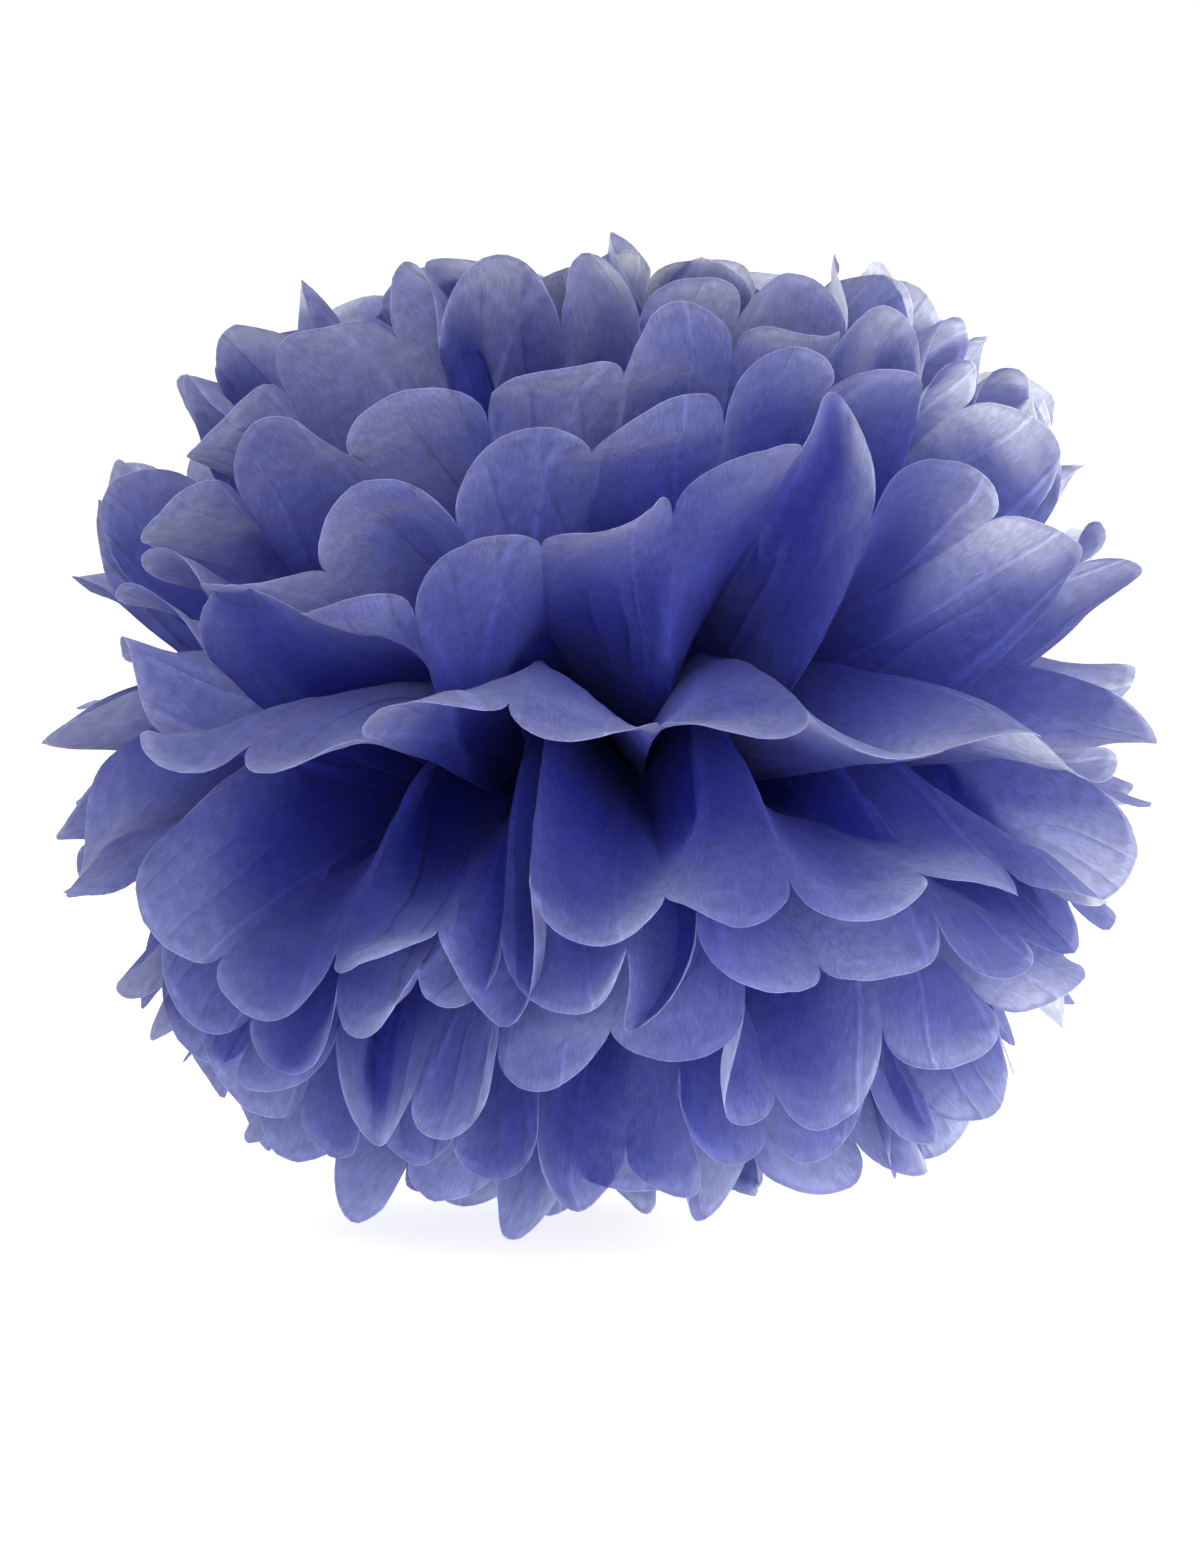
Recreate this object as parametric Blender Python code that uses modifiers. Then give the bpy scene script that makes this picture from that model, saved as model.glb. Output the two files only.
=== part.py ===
"""A tissue paper pom pom: pleated sheets of tissue, tied at the waist and opened into a ball.

The sheets are stacked, pleated together into one strip and cut round at both ends. A wire grips
the strip at its middle. On each side of the wire the pleats open like a fan, so that every sheet
becomes a ring of round petals, and the rings are pulled up or down to share out the ball.

A sheet is modelled flat, as rows of points along its fold lines, and each point is then folded
into place. Along a fold line, the slope turns from the flat waist to the ring's own tilt and
droops towards the tip. Across the fold lines, the pleats zigzag above and below that ring.

Units are metres and +Z is up. The strip lies along Y, the wire goes round it in the XZ plane, and
the origin is the middle of the circle that the lowest petal tips stand on.
"""

import math

import bmesh
import bpy
from mathutils import Vector

# The cut sheet
SHEET_LENGTH = 0.350  # along the pleats, from one cut end to the other
SHEET_WIDTH = 0.500
PLEAT_COUNT = 12
PETAL_ROUND = 0.0205  # how far the round cut reaches in from the end of a pleat
PETAL_END_SIDES = 5
PAPER_THICKNESS = 0.00005
OFFSET_LIMIT = 0.06  # of the shortest edge, for the thickness at a sharp fold

# The flat waist: two half circles, from which the fans open, with the wire between them
SHEETS_PER_HALF = 6
SHEET_SPACING = 0.00035
WAIST_RADIUS = 0.006
WAIST_SPLIT = 0.0032  # between the middles of the two half circles
SEAM_ANGLE = math.radians(2.5)  # how far a fan stays short of half a turn, at each side
OPENED_SHARE = 0.97  # of a pleat's width, which is as wide as it opens

# The opened rings
FIRST_TILT = math.radians(5.0)
STEEPEST_TILT = math.radians(108.0)
TIP_DROOP = math.radians(60.0)  # how far the steepest petals bend back outwards
DROOP_POWER = 2.5
TURN_LENGTH = 0.040  # of pleat that turns from the flat waist to the ring's own tilt
NESTED_PLEAT = 1.6  # rise of a pleat over the room it has, at the waist where sheets nest
FREE_PLEAT = 6.0  # the same, at the end of the pleats where the rings are far apart
ROW_SHARES = (0.0, 0.08, 0.2, 0.4, 0.7, 1.0)  # of the pleat up to the round cut
PROFILE_STEPS = 120

# The tie
WIRE_DIAMETER = 0.0008
WIRE_CLEARANCE = 0.0003
WIRE_CORNER = 0.001
STRAND_GAP = 0.0002
TWIST_TURNS = 3
TWIST_PITCH = 0.004
STRAND_END = 0.0012  # of straight wire after the twist
TWIST_LEAD = 0.0040  # from the edge of the waist to where the two strands meet
POINTS_PER_TURN = 10
CORNER_STEPS = 4

WIRE_ROUNDNESS = 2  # Blender's bevel resolution, which gives eight sides

# Finishes: linear red, green, blue and alpha, then roughness
TISSUE_COLOUR = (0.118, 0.132, 0.420, 1.0)
TISSUE_ROUGHNESS = 0.85
WIRE_COLOUR = (0.55, 0.55, 0.56, 1.0)
WIRE_ROUGHNESS = 0.35

PLEAT_WIDTH = SHEET_WIDTH / PLEAT_COUNT
FAN_LENGTH = SHEET_LENGTH / 2 - WAIST_RADIUS - WAIST_SPLIT / 2
ROUND_START = FAN_LENGTH - PETAL_ROUND
WIDEST_STEP = OPENED_SHARE * PLEAT_WIDTH / (WAIST_RADIUS + ROUND_START)
FAN_STEP = min((math.pi - 2 * SEAM_ANGLE) / PLEAT_COUNT, WIDEST_STEP)
FAN_START = (math.pi - FAN_STEP * PLEAT_COUNT) / 2


def clear_scene():
    """Remove every object, with its mesh or curve."""
    for item in list(bpy.data.objects):
        bpy.data.objects.remove(item, do_unlink=True)


def make_material(name, colour, roughness, metallic):
    """A Principled material of one colour."""
    material = bpy.data.materials.new(name)
    material.use_nodes = True
    shader = material.node_tree.nodes["Principled BSDF"]
    shader.inputs["Base Color"].default_value = colour
    shader.inputs["Roughness"].default_value = roughness
    shader.inputs["Metallic"].default_value = metallic
    return material


def sheet_tilt(rank):
    """The tilt of a ring: rank 1 is nearest the middle, and the highest rank is at the pole."""
    share = (rank - 1) / max(SHEETS_PER_HALF - 1, 1)
    return FIRST_TILT + (STEEPEST_TILT - FIRST_TILT) * share


def slope_at(tilt, distance):
    """The angle above level of a ring's pleats, at a distance along them from the waist."""
    turned = min(distance / TURN_LENGTH, 1.0)
    turned = turned * turned * (3 - 2 * turned)
    droop = TIP_DROOP * (tilt / STEEPEST_TILT) * (distance / FAN_LENGTH) ** DROOP_POWER
    return tilt * turned - droop


def reach(tilt, distance):
    """How far out and up a ring's pleats have come at a distance along them."""
    out = up = 0.0
    step = distance / PROFILE_STEPS
    for index in range(PROFILE_STEPS):
        slope = slope_at(tilt, (index + 0.5) * step)
        out += step * math.cos(slope)
        up += step * math.sin(slope)
    return out, up


def pleat_rise(out, distance):
    """Half the height of the zigzag at a distance along the pleats.

    Two fold lines are never further apart than the width of the paper between them. Near the
    waist, where the stacked sheets nest in each other, the zigzag stays shallower than that.
    """
    room = (WAIST_RADIUS + out) * FAN_STEP
    steepest = NESTED_PLEAT + (FREE_PLEAT - NESTED_PLEAT) * distance / FAN_LENGTH
    return min(math.sqrt(max(PLEAT_WIDTH**2 - room**2, 0.0)), steepest * room) / 2


def fan_heading(side, fold):
    """The level direction in which a fold line leaves the waist, on the +Y or the -Y side."""
    turn = FAN_START + FAN_STEP * fold
    return Vector((math.cos(turn), side * math.sin(turn), 0.0))


def fan_point(side, fold, tilt, distance):
    """A point of the smooth ring that the pleats rise above and dip below."""
    out, up = reach(tilt, distance)
    middle = Vector((0.0, side * WAIST_SPLIT / 2, up))
    return middle + fan_heading(side, fold) * (WAIST_RADIUS + out)


def fold_point(side, fold, tilt, distance):
    """A point of a fold line. Even folds are ridges and odd folds are valleys."""
    point = fan_point(side, fold, tilt, distance)
    if distance == 0.0:
        return point
    slope = slope_at(tilt, distance)
    normal = Vector((0.0, 0.0, math.cos(slope))) - fan_heading(side, fold) * math.sin(slope)
    ridge = 1 if fold % 2 == 0 else -1
    return point + normal * ridge * pleat_rise(reach(tilt, distance)[0], distance)


def petal_end(first, last, tip):
    """The points of the round cut, between the ends of two fold lines."""
    middle = (first + last) / 2
    points = []
    for index in range(1, PETAL_END_SIDES):
        angle = math.pi * index / PETAL_END_SIDES
        across = (last - first) * (1 - math.cos(angle)) / 2
        points.append(first + across + (tip - middle) * math.sin(angle))
    return points


def sheet_level(rank):
    """The height of a sheet in the stack, from the middle of the waist."""
    return (rank - 0.5) * SHEET_SPACING


def add_fan(mesh, side, tilt):
    """Add one fan of pleats and petals, and return its vertices along the waist."""
    distances = [share * ROUND_START for share in ROW_SHARES]
    folds = []
    for fold in range(PLEAT_COUNT + 1):
        points = [fold_point(side, fold, tilt, distance) for distance in distances]
        folds.append([mesh.verts.new(point) for point in points])
    for pleat in range(PLEAT_COUNT):
        near, far = folds[pleat], folds[pleat + 1]
        for row in range(len(distances) - 1):
            mesh.faces.new((near[row], near[row + 1], far[row + 1]))
            mesh.faces.new((near[row], far[row + 1], far[row]))
        tip = fan_point(side, pleat + 0.5, tilt, FAN_LENGTH)
        ends = [mesh.verts.new(point) for point in petal_end(near[-1].co, far[-1].co, tip)]
        mesh.faces.new((near[-1], *ends, far[-1]))
    return [fold[0] for fold in folds]


def make_sheet(name, tilt, level, material, collection):
    """One sheet of tissue: two fans of petals, joined by the flat strip through the wire."""
    mesh = bmesh.new()
    front = add_fan(mesh, -1, tilt)
    back = add_fan(mesh, 1, tilt)
    mesh.faces.new((*front, *reversed(back)))
    bmesh.ops.recalc_face_normals(mesh, faces=mesh.faces)
    data = bpy.data.meshes.new(name)
    mesh.to_mesh(data)
    mesh.free()
    data.materials.append(material)
    sheet = bpy.data.objects.new(name, data)
    sheet.location.z = level
    collection.objects.link(sheet)
    paper = sheet.modifiers.new("Paper thickness", "SOLIDIFY")
    paper.thickness = PAPER_THICKNESS
    paper.offset = 0.0
    paper.use_even_offset = True
    paper.thickness_clamp = OFFSET_LIMIT
    return sheet


def twist_strand(start_angle, root):
    """The points of one strand of the twisted tail, from the strip outwards along +X."""
    radius = (WIRE_DIAMETER + STRAND_GAP) / 2
    count = TWIST_TURNS * POINTS_PER_TURN
    points = []
    for index in range(count + 1):
        angle = start_angle + 2 * math.pi * index / POINTS_PER_TURN
        along = root + TWIST_PITCH * index / POINTS_PER_TURN
        points.append(Vector((along, radius * math.cos(angle), radius * math.sin(angle))))
    points.append(points[-1] + Vector((STRAND_END, 0.0, 0.0)))
    return points


def wire_corner(centre, start_angle):
    """The points of a rounded corner of the loop, a quarter turn from a start angle."""
    points = []
    for index in range(CORNER_STEPS + 1):
        angle = start_angle + math.pi / 2 * index / CORNER_STEPS
        turned = Vector((math.cos(angle), 0.0, math.sin(angle)))
        points.append(centre + WIRE_CORNER * turned)
    return points


def wire_path():
    """The wire's centre line: in along one strand, round the waist, and out along the other."""
    stack = 2 * sheet_level(SHEETS_PER_HALF) + PAPER_THICKNESS
    room = WIRE_CLEARANCE + WIRE_DIAMETER / 2
    top = stack / 2 + room
    edge = WAIST_RADIUS + room
    root = WAIST_RADIUS + TWIST_LEAD
    corner_x = WIRE_CORNER - edge
    corner_z = top - WIRE_CORNER
    path = list(reversed(twist_strand(math.pi / 2, root)))
    path.append(Vector((edge, 0.0, top)))
    path += wire_corner(Vector((corner_x, 0.0, corner_z)), math.pi / 2)
    path += wire_corner(Vector((corner_x, 0.0, -corner_z)), math.pi)
    path.append(Vector((edge, 0.0, -top)))
    path += twist_strand(-math.pi / 2, root)
    return path


def make_wire(name, material, collection):
    """The wire that grips the strip, as one length with its ends twisted together."""
    path = wire_path()
    curve = bpy.data.curves.new(name, "CURVE")
    curve.dimensions = "3D"
    curve.bevel_depth = WIRE_DIAMETER / 2
    curve.bevel_resolution = WIRE_ROUNDNESS
    curve.use_fill_caps = True
    spline = curve.splines.new("POLY")
    spline.points.add(len(path) - 1)
    for point, place in zip(spline.points, path):
        point.co = (*place, 1.0)
    curve.materials.append(material)
    wire = bpy.data.objects.new(name, curve)
    collection.objects.link(wire)
    return wire


def stand_on_ground(parts):
    """Lift the parts together until the lowest point of them all is at height zero."""
    view = bpy.context.evaluated_depsgraph_get()
    heights = []
    for part in parts:
        shape = part.evaluated_get(view)
        heights += [(shape.matrix_world @ vertex.co).z for vertex in shape.to_mesh().vertices]
        shape.to_mesh_clear()
    for part in parts:
        part.location.z -= min(heights)


def main():
    """Build the twelve sheets and the wire."""
    clear_scene()
    collection = bpy.data.collections.new("tissue_pom_pom")
    bpy.context.scene.collection.children.link(collection)
    tissue = make_material("Tissue paper", TISSUE_COLOUR, TISSUE_ROUGHNESS, 0.0)
    steel = make_material("Tie wire", WIRE_COLOUR, WIRE_ROUGHNESS, 1.0)
    parts = [make_wire("tie_wire", steel, collection)]
    for rank in range(1, SHEETS_PER_HALF + 1):
        tilt = sheet_tilt(rank)
        level = sheet_level(rank)
        parts.append(make_sheet(f"upper_sheet_{rank}", tilt, level, tissue, collection))
        parts.append(make_sheet(f"lower_sheet_{rank}", -tilt, -level, tissue, collection))
    stand_on_ground(parts)


main()
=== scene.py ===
"""The looks of a tissue paper pom pom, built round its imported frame.

Each of the twelve sheets is one surface, worked out in three steps. The fold lines are set out as
the ribs of two fans. They are then teased apart, as hands do it, and drawn back towards the
lengths and widths of the paper. Last, the paper is laid between them with its bow, round cut and
crumples.

Lengths are in metres and +Z is up, in the frame's own coordinates.
"""

import logging
import math
from dataclasses import dataclass
from enum import Enum

import bpy
import numpy as np
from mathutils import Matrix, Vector


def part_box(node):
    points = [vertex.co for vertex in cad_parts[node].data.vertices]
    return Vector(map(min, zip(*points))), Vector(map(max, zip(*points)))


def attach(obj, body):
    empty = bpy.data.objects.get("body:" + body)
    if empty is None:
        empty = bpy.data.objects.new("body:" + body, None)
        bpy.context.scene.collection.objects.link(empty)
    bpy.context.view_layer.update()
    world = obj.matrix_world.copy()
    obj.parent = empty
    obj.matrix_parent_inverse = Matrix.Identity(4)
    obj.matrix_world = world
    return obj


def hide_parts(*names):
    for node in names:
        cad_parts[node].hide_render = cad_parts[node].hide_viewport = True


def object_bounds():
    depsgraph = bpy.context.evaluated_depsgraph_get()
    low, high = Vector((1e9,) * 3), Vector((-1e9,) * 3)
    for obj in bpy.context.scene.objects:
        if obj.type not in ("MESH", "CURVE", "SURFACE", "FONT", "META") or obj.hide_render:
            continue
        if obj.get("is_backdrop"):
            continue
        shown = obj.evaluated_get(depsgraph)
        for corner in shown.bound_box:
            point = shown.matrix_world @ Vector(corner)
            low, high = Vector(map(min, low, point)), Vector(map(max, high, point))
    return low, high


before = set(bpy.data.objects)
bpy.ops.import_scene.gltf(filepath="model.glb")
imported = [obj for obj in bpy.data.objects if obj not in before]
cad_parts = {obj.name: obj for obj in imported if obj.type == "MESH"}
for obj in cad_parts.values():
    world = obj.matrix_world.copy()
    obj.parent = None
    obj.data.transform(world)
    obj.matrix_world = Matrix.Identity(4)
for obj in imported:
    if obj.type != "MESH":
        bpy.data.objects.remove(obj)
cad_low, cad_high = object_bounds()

log = logging.getLogger("pom_pom")
VIEW_TURN = math.radians(-22)
TINY = 1e-12
Pair = tuple[float, float]
Colour = tuple[float, float, float]
Scale = tuple[float, float, float]
Socket = bpy.types.NodeSocket

# What the six numbers of a point of laid paper are.
PLACE = slice(0, 3)
ACROSS = 3
ALONG = 4
CUT = 5


def unit(vectors: np.ndarray) -> np.ndarray:
    """The vectors at length one."""
    return vectors / np.maximum(np.linalg.norm(vectors, axis=-1, keepdims=True), TINY)


def ease(value: np.ndarray, start: float, end: float) -> np.ndarray:
    """Zero before the start, one after the end, and a smooth rise between."""
    share = np.clip((value - start) / (end - start), 0, 1)
    return share**2 * (3 - 2 * share)


class Half(Enum):
    """The half of the ball that a sheet is pulled into, with the sign of its tilt."""

    UPPER = 1
    LOWER = -1


@dataclass(frozen=True)
class Tissue:
    """One sheet as it is cut: its flat size, its pleats and the round cut of their ends."""

    length: float = 0.350
    width: float = 0.500
    pleats: int = 12
    round_cut: float = 0.0205
    thickness: float = 0.0001

    @property
    def pleat_width(self) -> float:
        """The width of paper between two fold lines."""
        return self.width / self.pleats

    @property
    def flat_area(self) -> float:
        """The area left when half an ellipse ends each pleat in place of its corners."""
        corners = (1 - math.pi / 4) * self.pleat_width * self.round_cut
        return self.length * self.width - 2 * self.pleats * corners


@dataclass(frozen=True)
class Waist:
    """The flat middle of the stack, two half discs wide, with the tie between them."""

    radius: float = 0.006
    split: float = 0.0032
    spacing: float = 0.00035
    seam: float = math.radians(2.5)

    @property
    def height(self) -> float:
        """The height of the stack's middle, read from the tie."""
        low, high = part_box("tie_wire")
        return (low[2] + high[2]) / 2


@dataclass(frozen=True)
class Opening:
    """How far the rings are tilted and how their pleats rise and droop along their length.

    Tilts and curls are in degrees, one for each sheet from the ball's middle to its pole. The
    nested and free pleats are the greatest zigzag over the room between folds, at the waist and
    at the tips. The shingle is how far each sheet's folds lean over their neighbours.
    """

    upper_tilts: tuple[float, ...] = (4, 19, 31, 45, 66, 102)
    lower_tilts: tuple[float, ...] = (8, 18, 30, 42, 60, 102)
    upper_curls: tuple[float, ...] = (-14, 30, 14, 6, 4, 0)
    lower_curls: tuple[float, ...] = (26, 34, 38, 38, 30, 10)
    droop: float = math.radians(74)
    droop_power: float = 2.5
    turn_length: float = 0.040
    nested_pleat: float = 3.0
    free_pleat: float = 9.0
    shingle: tuple[float, ...] = (0.0, 0.02, 0.06, 0.14, 0.22, 0.20)
    fine_steps: int = 16

    @property
    def ranks(self) -> int:
        """The number of sheets in a half."""
        return len(self.upper_tilts)

    def profile(self, tilt: np.ndarray, distance: np.ndarray) -> tuple[np.ndarray, ...]:
        """Slope, reach outwards and reach upwards along the pleats of rings of given tilts.

        The slope is the tilt eased in over the turning length, less a droop that grows with the
        square of the tilt and a power of the distance. The reaches sum its cosine and sine.

        Args:
            tilt: tilts of any shape.
            distance: evenly spaced distances along the pleat, from zero.

        Returns:
            Slope, out and up, each with the shape of tilt and one more axis for the distance.
        """
        fine = np.linspace(0, distance[-1], (len(distance) - 1) * self.fine_steps + 1)
        turned = ease(fine, 0, self.turn_length)
        share = tilt[..., None] / math.radians(self.upper_tilts[-1])
        droop = self.droop * share * np.abs(share)
        slope = tilt[..., None] * turned - droop * (fine / fine[-1]) ** self.droop_power
        middle = (slope[..., 1:] + slope[..., :-1]) / 2
        step = fine[1]
        start = 0 * slope[..., :1]
        out, up = (np.concatenate([start, np.cumsum(part(middle) * step, -1)], -1)
                   for part in (np.cos, np.sin))
        return tuple(values[..., :: self.fine_steps] for values in (slope, out, up))


@dataclass(frozen=True)
class Hills:
    """Smooth random hills over two parameters, between minus one and one.

    Random heights stand at the whole numbers, and a point between four of them takes their mix,
    with the share f eased to 3 f squared less 2 f cubed. A second layer is half as wide and high.
    """

    seed: int
    period: int = 64

    def __call__(self, across: np.ndarray, along: np.ndarray) -> np.ndarray:
        """The height at each pair of parameters.

        Args:
            across: the first parameters.
            along: the second parameters.

        Returns:
            The heights, in the shape that the two share.
        """
        heights = np.random.default_rng(self.seed).uniform(-1, 1, (self.period, self.period))
        total = 0
        for size in (1, 2):
            low_u, low_v = np.floor(across * size), np.floor(along * size)
            share_u, share_v = ease(across * size - low_u, 0, 1), ease(along * size - low_v, 0, 1)
            i, j = low_u.astype(int) % self.period, low_v.astype(int) % self.period
            k, m = (i + 1) % self.period, (j + 1) % self.period
            near = heights[i, j] * (1 - share_v) + heights[i, m] * share_v
            far = heights[k, j] * (1 - share_v) + heights[k, m] * share_v
            total = total + (near * (1 - share_u) + far * share_u) / size
        return total / 1.5


@dataclass(frozen=True)
class Placed:
    """Where the photographed fold tips of one front fan lie, as seen from the tie.

    Each way is a fold's bearing, in degrees to the right of the line to the camera, and its
    climb, in degrees above the level. The ways start at the fold furthest to the left.
    """

    half: Half
    rank: int
    left_fold: int
    ways: tuple[Pair, ...]

    @property
    def folds(self) -> dict[int, Pair]:
        """The way of each placed fold, by the fold's number."""
        return {self.left_fold - i: way for i, way in enumerate(self.ways)}


PLACED = (
    Placed(Half.UPPER, 1, 11, ((-55, 3), (-40.5, 1), (-24.8, 3), (-9, 7), (6, 4.5), (21.5, 5.5),
                               (36.5, 1), (51, 3), (65, 0))),
    Placed(Half.UPPER, 2, 11, ((-45, 7), (-32, 13), (-20.5, 14), (-6.4, 20.6), (7.5, 25.5), (25, 31),
                               (35, 27), (52, 23), (65, 15))),
    Placed(Half.UPPER, 3, 12, ((-62, 11), (-49, 15), (-33, 18), (-17, 24.5), (0, 33), (17, 38),
                               (34, 41), (52, 38))),
    Placed(Half.UPPER, 4, 12, ((-65, 20), (-53, 28), (-33.5, 32.5), (-15, 38), (4, 44), (22, 48),
                               (40, 47), (57, 42))),
    Placed(Half.UPPER, 5, 12, ((-71, 32), (-57, 43), (-41, 52.5), (-31, 52), (-8, 54.5), (7, 53.5),
                               (28, 55.5), (51, 52))),
    Placed(Half.LOWER, 1, 11, ((-47, -25), (-32.5, -22), (-17.5, -17), (-7.6, -11.8), (6.5, -12),
                               (20, -12.5), (35.5, -10.5), (50, -12))),
    Placed(Half.LOWER, 2, 11, ((-46, -32), (-33.5, -26.5), (-20, -18.5), (-11, -18.5), (2.5, -18),
                               (10, -16.5), (24.5, -20.5), (40.5, -17), (57, -19))),
    Placed(Half.LOWER, 3, 11, ((-50, -36), (-36.5, -32), (-26, -36.5), (-13, -31.5), (1, -27.5),
                               (17.5, -26), (24, -36.5), (39, -31), (55, -27))),
    Placed(Half.LOWER, 4, 11, ((-51, -43), (-37, -39), (-24, -47), (-9, -41.5), (4, -46.5),
                               (10.5, -37), (26, -43.5), (41, -38))),
    Placed(Half.LOWER, 5, 11, ((-52, -49), (-38, -55), (-20, -50), (-4, -57), (14, -51.5), (32, -55),
                               (49, -48))),
)


@dataclass
class Ribs:
    """The fold lines of every sheet, as points along each line.

    The arrays run over half, rank, side, fold, station and coordinate. Half and side take the
    order upper, lower and front, back. Of a pair, a range is the least and greatest of a random
    number, and a rise is where a smooth rise starts and ends.
    """

    tissue: Tissue
    waist: Waist
    opening: Opening
    seed: int = 11
    stations: int = 13

    # How the folds of an even ring lap and zigzag.
    lap_range: Pair = (0.6, 1.3)
    lap_rise: Pair = (0.15, 0.6)
    lap_widening: float = 1.8
    zigzag_slope: float = 20.0

    # The sizes of the random moves, and each rank's share of them.
    lift: float = 0.006
    heave: float = 0.009
    heave_carried: float = 0.6
    least_heave: float = 0.4
    turn: float = 0.004
    slip: float = 0.010
    sway: float = 0.010
    sway_range: Pair = (0.8, 2.2)
    straightness: float = 1.2
    calm: tuple[float, ...] = (1.0, 1.1, 1.3, 1.2, 0.9, 0.5)

    # The wide open pleat of each fan.
    parting: float = 0.022
    parting_range: Pair = (0.3, 1.0)
    parting_rise: Pair = (0.0, 0.2)
    parting_fall: float = 1.2
    open_pleats: tuple[int, int] = (3, 9)
    front_pleat: float = 7.5
    open_rank: int = 1

    # How the lines come to rest. Gaps between folds are shares of the pleat width.
    rounds: int = 60
    held: int = 3
    pull: float = 0.05
    smoothing: float = 0.25
    press: float = 0.5
    margin: float = 0.009
    widest: float = 0.99
    narrowest: float = 0.95
    tightest: float = 0.45
    clear: float = 0.009
    clear_rise: Pair = (0.0, 0.12)

    @property
    def lowest(self) -> float:
        """The height above the floor that the fold lines are pressed up to."""
        return cad_low[2] + 2 * self.margin

    @property
    def highest(self) -> float:
        """The height that the fold lines are pressed down to."""
        return cad_high[2] - self.margin

    @property
    def reach(self) -> float:
        """The length of a pleat from the waist's edge to the tip of its round end."""
        return self.tissue.length / 2 - self.waist.radius - self.waist.split / 2

    @property
    def notch(self) -> float:
        """The length of a fold from the waist's edge to the notch between two round ends."""
        return self.reach - self.tissue.round_cut

    @property
    def fan_step(self) -> float:
        """The angle between two fold lines where they leave the waist."""
        return (math.pi - 2 * self.waist.seam) / self.tissue.pleats

    @property
    def signs(self) -> np.ndarray:
        """The signs of the two halves' tilts."""
        return np.array([half.value for half in Half])

    def distances(self) -> np.ndarray:
        """The stations' distances along a fold line."""
        return np.linspace(0, self.reach, self.stations)

    def set_out(self) -> tuple[np.ndarray, np.ndarray, np.ndarray]:
        """The fold lines of evenly opened rings, with their lifting and turning directions.

        A point is the middle of its half disc, plus the disc's radius and the reach outwards
        along its heading, plus the reach upwards and a zigzag along the ring's normal. The
        zigzag is half the root of the squared pleat width less the squared room between folds.
        A fold also laps over its neighbour by a share of that room.

        Returns:
            Points, ring normals and level directions across the fold lines.
        """
        tilts = np.radians([self.opening.upper_tilts, self.opening.lower_tilts])
        slope, out, up = self.opening.profile(self.signs[:, None] * tilts, self.distances())
        folds = np.arange(self.tissue.pleats + 1)
        turn = self.waist.seam + self.fan_step * folds
        sides = np.array([-1.0, 1.0])[:, None]
        heading = np.stack(np.broadcast_arrays(np.cos(turn), sides * np.sin(turn), 0 * turn), -1)
        across = np.stack(np.broadcast_arrays(-np.sin(turn), sides * np.cos(turn), 0 * turn), -1)
        heading = heading[None, None, :, :, None, :]
        across = across[None, None, :, :, None, :]
        slope, out, up = (x[:, :, None, None, :, None] for x in (slope, out, up))
        rise = np.array([0.0, 0.0, 1.0])
        normal = rise * np.cos(slope) - heading * np.sin(slope)
        levels = self.signs[:, None] * (np.arange(self.opening.ranks) + 0.5) * self.waist.spacing
        levels = levels[:, :, None, None, None, None] + self.waist.height
        centre = np.array([0.0, 1.0, 0.0]) * (sides[:, :, None, None] * self.waist.split / 2)
        points = centre + heading * (self.waist.radius + out) + rise * (up + levels)
        share = (self.distances() / self.reach)[:, None]
        room = (self.waist.radius + out) * self.fan_step
        random = np.random.default_rng(self.seed + 1)
        lap = np.array(self.opening.shingle)[None, :, None, None, None, None]
        lap = lap * random.uniform(*self.lap_range, points.shape[:4] + (1, 1))
        leaning = random.choice([-1, 1], points.shape[:3] + (1, 1, 1))
        lap = lap * leaning * ease(share, *self.lap_rise)
        steepest = self.opening.nested_pleat
        steepest = steepest + (self.opening.free_pleat - steepest) * share
        wide = room * (1 + self.lap_widening * np.abs(lap))
        spare = np.sqrt(np.maximum(self.tissue.pleat_width**2 - wide**2, 0))
        zigzag = np.minimum(spare, steepest * room) / 2 * np.minimum(share * self.zigzag_slope, 1)
        ridge = np.where(folds % 2 == 0, 1.0, -1.0)[:, None, None]
        shape = points.shape
        points = points + normal * ridge * zigzag + across * ridge * lap * room
        return points, np.broadcast_to(normal, shape), np.broadcast_to(across, shape)

    def tease(self) -> np.ndarray:
        """The fold lines after the rings have been pulled about and have come to rest.

        Each line is lifted along its ring's normal and turned across it, at random and more with
        the distance. Then, in rounds, every point is pulled a little to that place, fold lines
        are drawn back to their length, neighbours to within a pleat's width, and rings are pushed
        apart. Each pull undoes a little of the others, so small errors stay.

        Returns:
            The points of every fold line.
        """
        even, normal, across = self.set_out()
        random = np.random.default_rng(self.seed)
        share = (self.distances() / self.reach)[:, None] ** self.straightness
        shape = even.shape[:4] + (1, 1)
        lift = random.normal(0, self.lift, shape)
        heave = random.normal(0, self.heave, shape)
        heave[:, :, :, 1:] += self.heave_carried * heave[:, :, :, :-1]
        lift = lift + heave * np.linspace(self.least_heave, 1, shape[1])[:, None, None, None, None]
        turn = random.normal(0, self.turn, shape) + random.normal(0, self.slip, shape[:3] + (1, 1, 1))
        turn = turn + self._sway(random, shape) * self.sway
        calm = np.array(self.calm)[:, None, None, None, None]
        target = even + (normal * lift + across * turn) * share * calm
        target += across * self._partings(random, shape) + normal * self._curls()
        self._place(target)
        points = target.copy()
        free = np.ones((self.stations, 1))
        free[: self.held] = 0
        along = self.reach / (self.stations - 1)
        width = self.tissue.pleat_width
        room = np.linalg.norm(target[:, :, :, 1:] - target[:, :, :, :-1], axis=-1, keepdims=True)
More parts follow.
